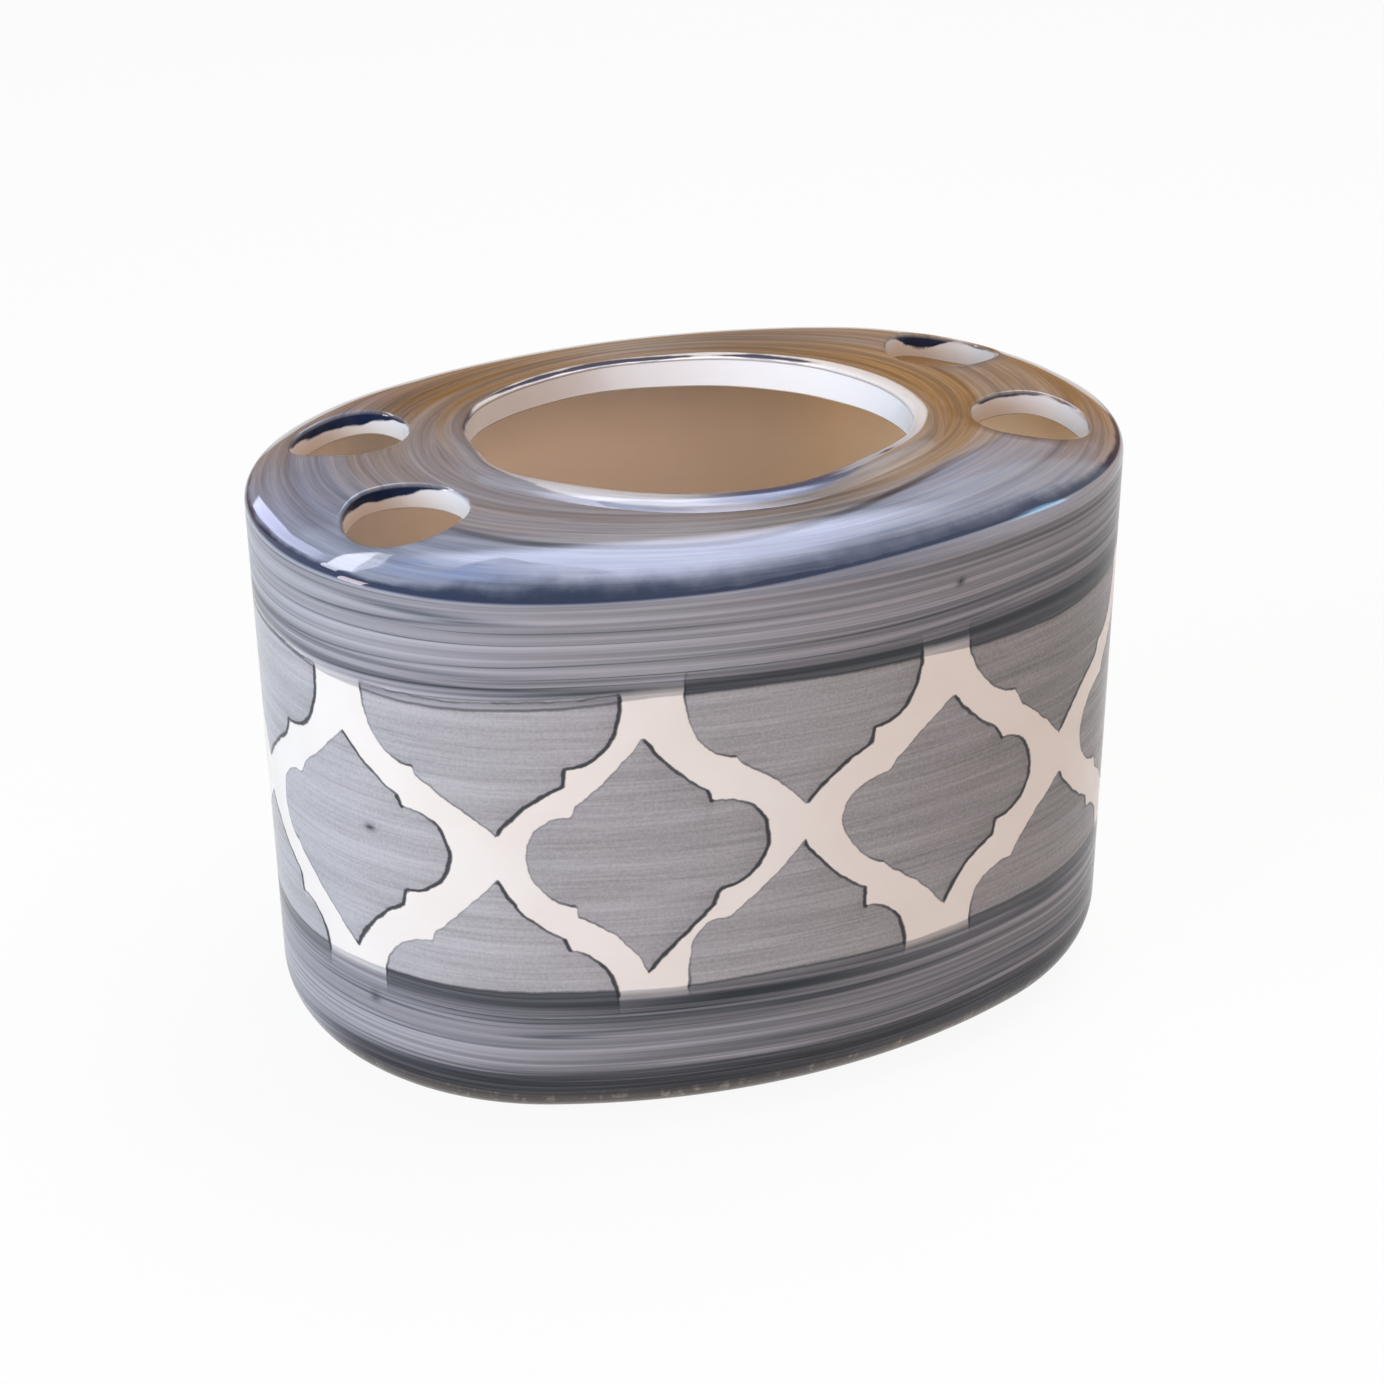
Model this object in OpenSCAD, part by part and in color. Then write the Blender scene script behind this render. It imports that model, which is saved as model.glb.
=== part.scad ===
// Countertop toothbrush holder in hand-painted, clear-glazed earthenware.
// An oval pot with upright walls, a rounded base edge and a gently domed top,
// which has one wide oval mouth in the middle and four round brush holes.
// The potter's pieces are luted together with slip and fired as one pot:
// foot ring, base dish, wall band, top deck and the coil round the mouth.
//
// Frame: millimetres, origin at the middle of the footprint on the counter,
// +Z up, X along the oval's long axis, -Y towards the front.

/* [Body] */
// Length of the pot, end to end
body_l = 130; // [120:1:150]
// Width of the pot, front to back
body_w = 93.5; // [84:0.5:110]
// How round the pot's ends are: end radius as a share of half the width
body_round_share = 0.91; // [0.86:0.005:0.95]
// Height from the counter to the crease where the wall meets the top
crease_h = 84.5; // [60:0.5:120]
// Thickness of the wall
wall_t = 4.5; // [3.5:0.1:5]

/* [Base] */
// Radius of the rounded edge between wall and base
base_r = 8; // [7:0.5:14]
// Thickness of the base dish
base_t = 4.5; // [3.5:0.1:6]
// Height of the foot ring
foot_h = 1.5; // [1:0.1:4]
// Width of the foot ring's tread
foot_w = 4; // [2:0.5:8]
// Distance from the rounded base edge in to the foot ring
foot_inset = 1.5; // [0.5:0.5:6]

/* [Deck] */
// Height that the top rises from the crease to its flat middle
dome_rise = 4.6; // [3.5:0.1:6.5]
// Distance over which the top slopes, from the crease inwards
dome_w = 15; // [12:0.5:15]
// Thickness of the top
deck_t = 3.6; // [3:0.1:4.5]
// Height of the seam between wall and top below the crease
seam_drop = 1.2; // [0.6:0.1:3]

/* [Mouth] */
// Distance from each end of the pot to the mouth
mouth_end_gap = 33.25; // [31:0.25:38]
// Distance from the front and the back of the pot to the mouth
mouth_side_gap = 20; // [19.75:0.25:24.75]
// How round the mouth's ends are: end radius as a share of half its shorter axis
mouth_round_share = 0.88; // [0.8:0.01:0.94]
// Width of the coil round the mouth
lip_w = 4.6; // [2:0.1:5.2]
// Height of the coil above the top
lip_h = 1.3; // [0.8:0.1:2]

/* [Brush holes] */
// Diameter of a brush hole
brush_hole_d = 17; // [12:0.5:18]
// Distance from the pot's end to the centre of a brush hole
brush_end_gap = 18; // [17:0.5:21]
// Distance between a pair of brush holes, centre to centre
brush_pitch = 30; // [26:0.5:33]

/* [Hidden] */
$fn = 180;

// How far a cut runs past the clay on each side
overrun = 1;
// How far an oval's end arcs stand past its side arcs, so that they cross cleanly
arc_lap = 0.002;

// Facets once round an oval, and along one rounded edge
oval_steps = 96;
edge_steps = 8;

// Places up the pot
base_seam_h = foot_h + base_r;      // the wall stands on the base dish here
deck_seam_h = crease_h - seam_drop; // the top rests on the wall here
deck_h = crease_h + dome_rise;      // the flat middle of the top
wall_h = deck_seam_h - base_seam_h;

// The top's slope is one arc: level at the flat middle, and through the crease
dome_r = (pow(dome_w, 2) + pow(dome_rise, 2)) / (2 * dome_rise);
dome_centre_h = deck_h - dome_r;
// The underside follows it until it comes down to the seam
under_r = dome_r - deck_t;
under_turn = acos((deck_seam_h - dome_centre_h) / under_r);

// The coil's section is the part of a circle that stands above the top
lip_r = (pow(lip_w / 2, 2) + pow(lip_h, 2)) / (2 * lip_h);
lip_turn = asin(lip_w / 2 / lip_r);

foot_outer_inset = base_r + foot_inset;
brush_x = body_l / 2 - brush_end_gap;
mouth_l = body_l - 2 * mouth_end_gap;
mouth_w = body_w - 2 * mouth_side_gap;

// Each oval is its size along X, its size along Y and the radius of its ends,
// which lie on the longer axis
body = [body_l, body_w, body_round_share * min(body_l, body_w) / 2];
mouth = [mouth_l, mouth_w, mouth_round_share * min(mouth_l, mouth_w) / 2];

// Colours of the fired pot
painted_grey = "#8b8e99";
deck_grey = "#7f8594";
rim_white = "#ece9e8";
bare_clay = "#8f857c";

// Whether an oval's longer axis runs front to back, and the oval laid along X
function stands_across(o) = o[0] < o[1];
function laid_along(o) = stands_across(o) ? [o[1], o[0], o[2]] : o;

// A four-centre oval has two end arcs and two flatter side arcs.
// This is the side arcs' radius, at which all four meet without a corner.
function side_radius(o) =
    (pow(o[0] / 2, 2) + pow(o[1] / 2, 2) - o[0] * o[2]) / (o[1] - 2 * o[2]);

// Where the arcs are struck from: along X for the ends, along Y for the sides
function end_centre(o) = o[0] / 2 - o[2];
function side_centre(o) = side_radius(o) - o[1] / 2;

// Direction, measured from the X axis, in which an end arc meets a side arc
function join_turn(o) = atan2(side_centre(o), end_centre(o));

// The oval that lies a given distance inside another, struck from the same centres
function inner_oval(o, inset) = [o[0] - 2 * inset, o[1] - 2 * inset, o[2] - inset];

// Point on an oval whose outline faces the given direction
function oval_point(o, turn) =
    stands_across(o)
    ? let (p = oval_point(laid_along(o), 90 - turn)) [p[1], p[0]]
    : abs(sin(turn)) < sin(join_turn(o))
    ? [sign(cos(turn)) * end_centre(o) + o[2] * cos(turn), o[2] * sin(turn)]
    : [side_radius(o) * cos(turn),
       side_radius(o) * sin(turn) - sign(sin(turn)) * side_centre(o)];

// One ring of points round an oval, at an inset and a height
function oval_ring(o, place) =
    [for (i = [0 : oval_steps - 1])
        concat(oval_point(inner_oval(o, place[0]), 360 * i / oval_steps), place[1])];

// Arc of insets and heights, from one direction to another off straight up
function section_arc(centre_inset, centre_h, r, from, to) =
    [for (i = [0 : edge_steps])
        let (turn = from + (to - from) * i / edge_steps)
            [centre_inset - r * sin(turn), centre_h + r * cos(turn)]];

// Two facets for each step round the oval, between one ring and the next
function band_faces(ring, next) =
    [for (i = [0 : oval_steps - 1])
        let (k = (i + 1) % oval_steps)
            each [[ring * oval_steps + i, next * oval_steps + i, next * oval_steps + k],
                  [ring * oval_steps + i, next * oval_steps + k, ring * oval_steps + k]]];

// Solid built of rings round an oval, from a flat face below to one above.
// The section runs outwards along the underside and back over the top.
module ringed_solid(o, section) {
    last = len(section) - 1;
    polyhedron(
        points = [for (place = section) each oval_ring(o, place)],
        faces = concat(
            [[for (i = [0 : oval_steps - 1]) i]],
            [for (ring = [0 : last - 1]) each band_faces(ring, ring + 1)],
            [[for (i = [oval_steps - 1 : -1 : 0]) last * oval_steps + i]]
        )
    );
}

// Closed coil round an oval, whose section comes back to its own start
module ringed_coil(o, section)
    polyhedron(
        points = [for (place = section) each oval_ring(o, place)],
        faces = [for (ring = [0 : len(section) - 1])
            each band_faces(ring, (ring + 1) % len(section))]
    );

// Flat oval outline, either way round
module oval(o)
    rotate(stands_across(o) ? 90 : 0)
        laid_oval(laid_along(o));

// Flat oval outline with its longer axis along X
module laid_oval(o) {
    join_x = side_radius(o) * cos(join_turn(o));
    for (end = [-1, 1])
        translate([end * end_centre(o), 0])
            circle(o[2] + arc_lap);
    intersection() {
        intersection_for (side = [-1, 1])
            translate([0, side * side_centre(o)])
                circle(side_radius(o));
        square([2 * join_x, o[1] + 2 * overrun], center = true);
    }
}

// Upright oval slab
module oval_slab(o, from_h, thick)
    translate([0, 0, from_h])
        linear_extrude(thick)
            oval(o);

// Upright oval hoop of the given thickness, just inside an oval
module oval_hoop(o, hoop_t, from_h, hoop_h)
    difference() {
        oval_slab(o, from_h, hoop_h);
        oval_slab(inner_oval(o, hoop_t), from_h - overrun, hoop_h + 2 * overrun);
    }

// The four brush holes, a pair at each end
module brush_holes()
    for (end = [-1, 1], side = [-1, 1])
        translate([end * brush_x, side * brush_pitch / 2, deck_seam_h - overrun])
            cylinder(h = deck_h - deck_seam_h + 2 * overrun, d = brush_hole_d);

// Low ring that the pot stands on, wiped bare of glaze
module foot_ring()
    color(bare_clay)
        oval_hoop(inner_oval(body, foot_outer_inset), foot_w, 0, foot_h);

// Floor of the pot with its rounded, upturned edge
module base_dish()
    color(painted_grey)
        ringed_solid(body, concat(
            section_arc(base_r, base_seam_h, base_r, 180, 90),
            section_arc(base_r, base_seam_h, base_r - base_t, 90, 180)
        ));

// Upright wall band, which carries the painted trellis
module body_wall()
    color(painted_grey)
        oval_hoop(body, wall_t, base_seam_h, wall_h);

// Domed top with the mouth and the four brush holes cut through it
module top_deck()
    color(deck_grey)
        difference() {
            ringed_solid(body, concat(
                section_arc(dome_w, dome_centre_h, under_r, 0, under_turn),
                [[0, deck_seam_h]],
                section_arc(dome_w, dome_centre_h, dome_r, asin(dome_w / dome_r), 0)
            ));
            oval_slab(mouth, deck_h - deck_t - overrun, deck_t + 2 * overrun);
            brush_holes();
        }

// Coil of clay laid on the top round the mouth, rounded over and left white
module mouth_lip()
    color(rim_white)
        ringed_coil(mouth,
            section_arc(-lip_w / 2, deck_h + lip_h - lip_r, lip_r, lip_turn, -lip_turn));

foot_ring();
base_dish();
body_wall();
top_deck();
mouth_lip();
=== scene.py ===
from functools import partial

import bpy
import numpy as np
from mathutils import Matrix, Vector
from mathutils.geometry import delaunay_2d_cdt


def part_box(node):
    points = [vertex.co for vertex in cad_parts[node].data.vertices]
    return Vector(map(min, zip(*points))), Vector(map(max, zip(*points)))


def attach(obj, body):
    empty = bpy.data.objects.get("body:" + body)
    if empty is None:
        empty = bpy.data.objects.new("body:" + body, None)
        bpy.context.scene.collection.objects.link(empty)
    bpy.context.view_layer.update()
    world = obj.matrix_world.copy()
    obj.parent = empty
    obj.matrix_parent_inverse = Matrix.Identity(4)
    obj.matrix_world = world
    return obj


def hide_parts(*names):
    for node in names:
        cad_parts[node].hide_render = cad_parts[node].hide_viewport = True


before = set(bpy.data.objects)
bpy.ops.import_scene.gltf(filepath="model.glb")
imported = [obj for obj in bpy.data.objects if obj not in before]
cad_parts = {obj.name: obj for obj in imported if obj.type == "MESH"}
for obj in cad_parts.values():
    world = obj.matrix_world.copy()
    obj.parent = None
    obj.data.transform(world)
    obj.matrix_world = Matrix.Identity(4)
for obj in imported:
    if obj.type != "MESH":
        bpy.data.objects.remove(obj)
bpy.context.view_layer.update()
mm = 0.001


# Small tools
# A node's box in millimetres, as its low and high corner
def nodeBox(node):
    return [np.array(corner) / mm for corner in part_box(node)]


# Four-centre oval: end arcs struck on X and flatter side arcs on Y, with the side radius at which
# they meet without a corner
def fourCentreOval(length, width, endShare):
    endR = endShare * width / 2
    sideR = ((length / 2) ** 2 + (width / 2) ** 2 - length * endR) / (width - 2 * endR)
    endX, sideY = length / 2 - endR, sideR - width / 2
    return dict(endR=endR, sideR=sideR, endX=endX, sideY=sideY, join=np.arctan2(sideY, endX))


# Points that face the given directions: arc centre + (radius - inset) x direction
def ovalPoints(oval, turns, inset=0.0):
    c, s = np.cos(turns), np.sin(turns)
    atEnd = np.abs(s) < np.sin(oval["join"])
    radius = np.where(atEnd, oval["endR"], oval["sideR"]) - inset
    x = np.where(atEnd, np.sign(c) * oval["endX"], 0) + radius * c
    y = np.where(atEnd, 0, -np.sign(s) * oval["sideY"]) + radius * s
    return np.stack([x, y], -1)


# Directions of evenly spaced points, and the oval's length: the sum of radius x turn, read backwards
def evenTurns(oval, count):
    fine = np.linspace(0, 2 * np.pi, 14401)
    middle = (fine[1:] + fine[:-1]) / 2
    radius = np.where(np.abs(np.sin(middle)) < np.sin(oval["join"]), oval["endR"], oval["sideR"])
    run = np.concatenate([[0], np.cumsum(radius * np.diff(fine))])
    return np.interp(np.arange(count) * run[-1] / count, run, fine), run[-1]


# How far inside an oval points lie: the nearer arc's radius, less the distance to its centre
def ovalInset(oval, x, y):
    ax, ay = np.abs(x), np.abs(y)
    atEnd = np.arctan2(ay, ax - oval["endX"]) < oval["join"]
    return np.where(atEnd, oval["endR"] - np.hypot(ax - oval["endX"], ay),
                    oval["sideR"] - np.hypot(ax, ay + oval["sideY"]))


# Unevenness round the pot, about -1 to 1: sine waves of the direction, each weaker than the last
def handWobble(turns, seed, waves=(2, 3, 5, 8, 13)):
    rng = np.random.default_rng(seed)
    phase = rng.uniform(0, 2 * np.pi, len(waves))
    return sum(np.sin(w * turns + p) / (1 + 0.35 * k) for k, (w, p) in enumerate(zip(waves, phase))) / 2.2


# Curve round the pot through marks of direction in degrees: value, by straight lines averaged over a
# few degrees
def roundMarks(turns, marks, soften=7):
    fine = np.arange(-180, 180)
    place, value = np.array(sorted(marks.items())).T
    raw = np.interp(fine, place, value, period=360)
    soft = np.mean([np.roll(raw, k) for k in range(-soften, soften + 1)], 0)
    return np.interp(np.degrees(turns), fine, soft, period=360)


# How nearly directions face a chosen one: cosine, 0 past a quarter turn, to a power
def nearSide(turns, towards, narrow):
    return np.clip(np.cos(turns - np.radians(towards)), 0, 1) ** narrow


# Rings of a section (rows of inset and height) round an oval, as rows x columns x 3
def sweptRings(oval, turns, section):
    flat = np.stack([ovalPoints(oval, turns, inset) for inset, _ in section])
    height = np.broadcast_to(np.array([z for _, z in section])[:, None, None], flat.shape[:2] + (1,))
    return np.concatenate([flat, height], -1)


# Quads between neighbouring rows of numbered points, each row closed on itself
def rowQuads(index, closed=False):
    rows = np.concatenate([index, index[:1]]) if closed else index
    a, b = rows[:-1], rows[1:]
    return np.stack([a, np.roll(a, -1, 1), np.roll(b, -1, 1), b], -1).reshape(-1, 4)


# Numbered grid of points
def numbered(shape, start=0):
    return start + np.arange(shape[0] * shape[1]).reshape(shape[:2])


# Arc in a section: centre + radius x (outwards, up), between two directions off straight up
def sectionArc(centreInset, centreZ, radius, start, stop, steps):
    turn = np.radians(np.linspace(start, stop, steps + 1))
    return np.stack([centreInset - radius * np.sin(turn), centreZ + radius * np.cos(turn)], -1)


def newObject(name, data):
    thing = bpy.data.objects.new(name, data)
    bpy.context.scene.collection.objects.link(thing)
    return thing


# Values at a mesh's points, which materials read by name
def addValues(mesh, name, values):
    data = mesh.attributes.new(name, "FLOAT", "POINT").data
    data.foreach_set("value", np.asarray(values, np.float32).ravel())


# A mesh object from points in millimetres, lists of faces and values at the points
def makePiece(name, points, faces, values, looks, faceLook=None, sharpOver=38):
    mesh = bpy.data.meshes.new(name)
    mesh.from_pydata((points * mm).tolist(), [], [f for group in faces for f in group.tolist()])
    for key, value in values.items():
        addValues(mesh, key, value)
    for look in looks:
        mesh.materials.append(look)
    if faceLook is not None:
        mesh.polygons.foreach_set("material_index", np.asarray(faceLook, np.int32))
    mesh.update()
    mesh.shade_smooth()
    mesh.set_sharp_from_angle(angle=np.radians(sharpOver))
    return newObject(name, mesh)


def placePiece(piece, node):
    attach(piece, "root")
    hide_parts(node)


# sRGB hex to linear colour
def paint(hexColour):
    part = np.array([int(hexColour[i:i + 2], 16) for i in (1, 3, 5)]) / 255
    linear = np.where(part <= 0.04045, part / 12.92, ((part + 0.055) / 1.055) ** 2.4)
    return (*linear.tolist(), 1)


# Adds one node, sets or links its inputs by name or in order, and returns one output
def addNode(tree, kind, inputs=(), out=0, stops=(), **settings):
    node = tree.nodes.new("ShaderNode" + kind)
    for key, value in settings.items():
        setattr(node, key, value)
    for key, value in inputs.items() if isinstance(inputs, dict) else enumerate(inputs):
        if isinstance(value, bpy.types.NodeSocket):
            tree.links.new(value, node.inputs[key])
        else:
            node.inputs[key].default_value = paint(value) if isinstance(value, str) else value
    for k, (place, colour) in enumerate(stops):
        ramp = node.color_ramp.elements
        stop = ramp[k] if k < 2 else ramp.new(place)
        stop.position, stop.color = place, paint(colour)
    return node.outputs[out] if node.outputs else node


# Empties a material's or world's node tree and returns addNode for it
def emptyTree(owner):
    owner.use_nodes = True
    owner.node_tree.nodes.clear()
    return partial(addNode, owner.node_tree)


def newMaterial(name):
    material = bpy.data.materials.new(name)
    return material, emptyTree(material)


# Sizes, from the CAD nodes' boxes
wallLow, wallHigh = nodeBox("body_wall")
footLow, footHigh = nodeBox("foot_ring")
potLength, potWidth = wallHigh[0] - wallLow[0], wallHigh[1] - wallLow[1]
baseSeam, deckSeam = wallLow[2], wallHigh[2]
deckTop, potTop, footTop = nodeBox("top_deck")[1][2], nodeBox("mouth_lip")[1][2], footHigh[2]
footInset = (potLength - (footHigh[0] - footLow[0])) / 2
endShare = 0.91                # radius of the pot's ends, as a share of half its width
body = fourCentreOval(potLength, potWidth, endShare)
around = evenTurns(body, 1)[1]
print("pot", np.round([potLength, potWidth, potTop], 2), "mm; round", round(around, 1), "mm")


# Paint and glaze
# The paints are as fired, except the painted warm reflections and painted shade marked below; the light
# gives them the cool left and warm right side.
glaze = {
    "white": "#efeae7",        # bare white slip under clear glaze
    "whiteWarm": "#e4dad2",
    "panel": "#b9b6bb",        # thin grey wash of the trellis panels, from one coat to three
    "panelDark": "#6a6867",
    "bandPale": "#b7b4bd",     # the bands are brushed on the wheel, so their lines run round
    "bandMid": "#8d8c92",
    "bandTeal": "#344250",
    "bandHeavy": "#222931",    # heavy strokes and double coats
    "ink": "#1d2128",          # where wash pooled along an edge
    "navy": "#0e2346",
    "baseInk": "#1b1f27",
    "footReflectionBrown": "#54463b",    # painted warm reflection at the very bottom, and its painted glints
    "footReflectionGlint": "#a8998d",
    "slipWhite": "#f5f4f7",    # cut walls of the mouth and holes, with a painted buff shade lower down
    "slipShade": "#dcc9b4",
    "waveMm": 14,            # size of the glaze's faint unevenness
    # washes of the top, from thin to full; the taupe and brown partly carry a painted warm reflection
    "blue": [(0.24, "#9da3b6"), (0.76, "#566076"), (0.5, "#7d8599")],
    "taupe": [(0.22, "#b9b0a9"), (0.78, "#655d58"), (0.5, "#938a83")],
    "brown": [(0.26, "#b59162"), (0.74, "#4c371b"), (0.5, "#86633a")],
}
# Settings that many nodes share
rgba, smooth = dict(out=2, data_type="RGBA"), dict(interpolation_type="SMOOTHSTEP")
times, plus = dict(operation="MULTIPLY"), dict(operation="ADD")


# Coats over one another: each is a share and the colour that it brings
def coats(add, colour, *layers):
    for share, over in layers:
        colour = add("Mix", {0: share, 6: colour, 7: over}, **rgba)
    return colour


# Noise drawn out by the brush, as a scale per metre along each axis
def brushed(add, place, stretch, detail, roughness=0.5):
    at = add("VectorMath", [place, stretch], **times)
    return add("TexNoise", {"Vector": at, "Scale": 1, "Detail": detail, "Roughness": roughness})


# Clear lead-free glaze, dipped and fired: a smooth coat whose faint wave bends its crisp reflections
def finishGlaze(add, colour, bump=None, roughness=0.42, coat=1):
    place = add("TexCoord", out="Object")
    wave = add("TexNoise", {"Vector": place, "Scale": 1 / (glaze["waveMm"] * mm), "Detail": 1})
    soft = under = add("Bump", {"Height": wave, "Strength": 0.12, "Distance": 0.0016})
    if bump:
        under = add("Bump", {"Height": bump, "Strength": 0.25, "Distance": 0.0002, "Normal": soft})
    shader = add("BsdfPrincipled", {
        "Base Color": colour, "Roughness": roughness, "IOR": 1.5, "Specular IOR Level": 0,
        "Normal": under, "Coat Weight": coat, "Coat Roughness": 0.035, "Coat IOR": 1.5,
        "Coat Normal": soft})
    add("OutputMaterial", {"Surface": shader})


# Wash brushed on as the wheel turned: soft level stripes 1 to 1.6 mm apart, and between them thin teal
# lines of the bristles, 0.3 mm wide. heavy is a share of ink; pale stripes stay in it.
def wheelBand(add, place, heavy):
    lie = add("TexNoise", {"Vector": place, "Scale": 18, "Detail": 0})
    sway = add("CombineXYZ", {"Z": lie})
    lean = add("VectorMath", [sway, (0, 0, 0.004)], **times)
    swayed = add("VectorMath", [place, lean], **plus)
    fine = brushed(add, swayed, (20, 20, 2200), 3, 0.6)
    wide = brushed(add, swayed, (6, 6, 1250), 2)
    bristle = brushed(add, swayed, (6, 6, 640), 0)
    stripe = add("MapRange", [wide, 0.3, 0.68])
    # a bristle's line lies where its noise crosses the middle
    offLine = add("Math", [bristle, 0.5], operation="SUBTRACT")
    offAbs = add("Math", [offLine], operation="ABSOLUTE")
    onLine = add("MapRange", [offAbs, 0, 0.055, 1, 0], **smooth)
    worn = add("MapRange", [fine, 0.36, 0.6, 0.2, 0.75])
    thread = add("Math", [onLine, worn], **times)
    left = add("MapRange", [wide, 0.36, 0.58, 0.55, 1])
    share = add("Math", [heavy, left], **times, use_clamp=True)
    colour = coats(add, glaze["bandPale"], (stripe, glaze["bandMid"]), (thread, glaze["bandTeal"]),
                   (share, glaze["bandHeavy"]))
    return colour, fine


# Painted, clear-glazed earthenware of the wall and base: white slip, thin grey wash with level
# streaks in the panels, bands over both, and wash pooled dark along edges
def paintedWare():
    material, add = newMaterial("painted clear-glazed earthenware")
    place = add("TexCoord", out="Object")
    # mm inside a panel, its pooled edge and tone, mm inside a band, heavy strokes, two coats, base paint
    edge, line, tone, band, dark, lap, speck, baseTone = [
        add("Attribute", out="Fac", attribute_name=name) for name in
        ("panelEdge", "edgeLine", "panelTone", "bandEdge", "darkening", "lapTone", "speck", "baseTone")]

    # shake of the hand along every edge, 1.5 to 4 mm long
    shake = add("TexNoise", {"Vector": place, "Scale": 450, "Detail": 2})
    shakeMm = add("MapRange", [shake, 0.3, 0.7, -0.16, 0.16])
    edgeMm = add("Math", [edge, shakeMm], **plus)
    bandMm = add("Math", [shakeMm, 0.35, band], operation="MULTIPLY_ADD")
    bandPaint, fine = wheelBand(add, place, dark)

    # streaks 0.5 mm apart and 20 mm long, grain of 0.4 mm from the slip, smears 3 mm high and 30 to
    # 60 mm long, and the panel's own tone
    streak = brushed(add, place, (45, 45, 1900), 3, 0.65)
    grain = add("TexNoise", {"Vector": place, "Scale": 2400, "Detail": 1})
    smear = brushed(add, place, (22, 22, 330), 2)
    panelTone, *rest = [add("MapRange", [noise, 0.3, 0.7, low, high]) for noise, low, high in
                        ((streak, -0.12, 0.2), (grain, -0.09, 0.09), (smear, -0.1, 0.12))]
    for more in (*rest, tone):
        panelTone = add("Math", [panelTone, more], **plus)

    # a band's edge is a thin smear about 1.5 mm wide
    blotch = add("TexNoise", {"Vector": place, "Scale": 60, "Detail": 2})
    inPanel = add("MapRange", [edgeMm, -0.1, 0.1], **smooth)
    thin = add("MapRange", [bandMm, -0.15, 0.15, 0, 0.62], **smooth)
    thick = add("MapRange", [bandMm, 0.5, 1.7, 0, 0.38])
    inBand = add("Math", [thin, thick], **plus)
    # two coats where a panel runs under a band, with a thin line at the band's edge
    isBand = add("MapRange", [bandMm, -0.1, 0.15], **smooth)
    both = add("Math", [inPanel, isBand], **times)
    uneven = add("MapRange", [fine, 0.35, 0.6, 0.72, 1])
    lapUneven = add("Math", [lap, uneven], **times)
    twoCoats = add("Math", [both, lapUneven], **times, use_clamp=True)
    bandOff = add("Math", [bandMm], operation="ABSOLUTE")
    bandRim = add("MapRange", [bandOff, 0.1, 0.32, 0.6, 0])
    crossing = add("Math", [bandRim, inPanel], **times)

    # pooled line inside an edge: half width 0.13 to 0.40 mm, darker where it is wider
    width = add("MapRange", [line, 0, 1, 0.13, 0.40])
    off = add("Math", [edgeMm, 0.16], operation="SUBTRACT")
    away = add("Math", [off], operation="ABSOLUTE")
    share = add("Math", [away, width], operation="DIVIDE")
    near = add("MapRange", [share, 0.45, 1.15, 1, 0], **smooth)
    depth = add("MapRange", [line, 0, 0.7, 0.2, 0.9])
    pooled = add("Math", [near, depth], **times)

    # dark paint up to about 11 mm, and below 6 mm a painted warm reflection, brown with upright painted
    # glints
    height = add("SeparateXYZ", [place], out="Z")
    rag = add("MapRange", [fine, 0.3, 0.7, -0.0012, 0.0012])
    ragged = add("Math", [height, rag], **plus)
    low = add("MapRange", [ragged, 0.0098, 0.0118, 1, 0])
    thinned = add("MapRange", [fine, 0.35, 0.6, 0.8, 1])
    lowTone = add("Math", [low, baseTone], **times)
    lowThinned = add("Math", [lowTone, thinned], **times)
    run = brushed(add, place, (700, 700, 90), 2)
    paintedGlints = add("MapRange", [run, 0.56, 0.74])
    lowest = add("MapRange", [ragged, 0.0056, 0.0074, 0.72, 0])
    lowestTone = add("Math", [lowest, baseTone], **times)

    panel = coats(add, glaze["panel"], (panelTone, glaze["panelDark"]))
    brown = coats(add, glaze["footReflectionBrown"], (paintedGlints, glaze["footReflectionGlint"]))
    painted = coats(add, glaze["white"], (blotch, glaze["whiteWarm"]), (inPanel, panel),
                    (inBand, bandPaint), (twoCoats, glaze["bandHeavy"]), (crossing, glaze["ink"]),
                    (pooled, glaze["ink"]), (lowThinned, glaze["baseInk"]), (lowestTone, brown),
                    (speck, glaze["ink"]))
    finishGlaze(add, painted, fine, coat=0.6)
    return material


# Buff body of the inside under thin clear glaze: warm and nearly even, with painted warm light towards the
# right end
def buffWare():
    material, add = newMaterial("clear-glazed buff earthenware")
    place = add("TexCoord", out="Object")
    cloud = add("TexNoise", {"Vector": place, "Scale": 45, "Detail": 3})
    across = add("SeparateXYZ", [place], out="X")
    # painted warm light, growing towards the right end
    thin = add("MapRange", [across, 0.012, 0.038, 0, 0.9])
    finishGlaze(add, coats(add, "#fdf5ec", (cloud, "#f8ecdf"), (thin, "#fcddb5")), None, 0.5, 0.5)
    return material


# Bare fired clay of the wiped foot: matt, sandy, grog specks of about 0.3 mm
def bareClay():
    material, add = newMaterial("bare fired earthenware")
    place = add("TexCoord", out="Object")
    grit = add("TexNoise", {"Vector": place, "Scale": 1600, "Detail": 3})
    colour = coats(add, "#a5917f", (grit, "#78685b"))
    bump = add("Bump", {"Height": grit, "Strength": 0.5, "Distance": 0.0003})
    shader = add("BsdfPrincipled", {"Base Color": colour, "Roughness": 0.85, "Normal": bump})
    add("OutputMaterial", {"Surface": shader})
    return material
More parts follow.
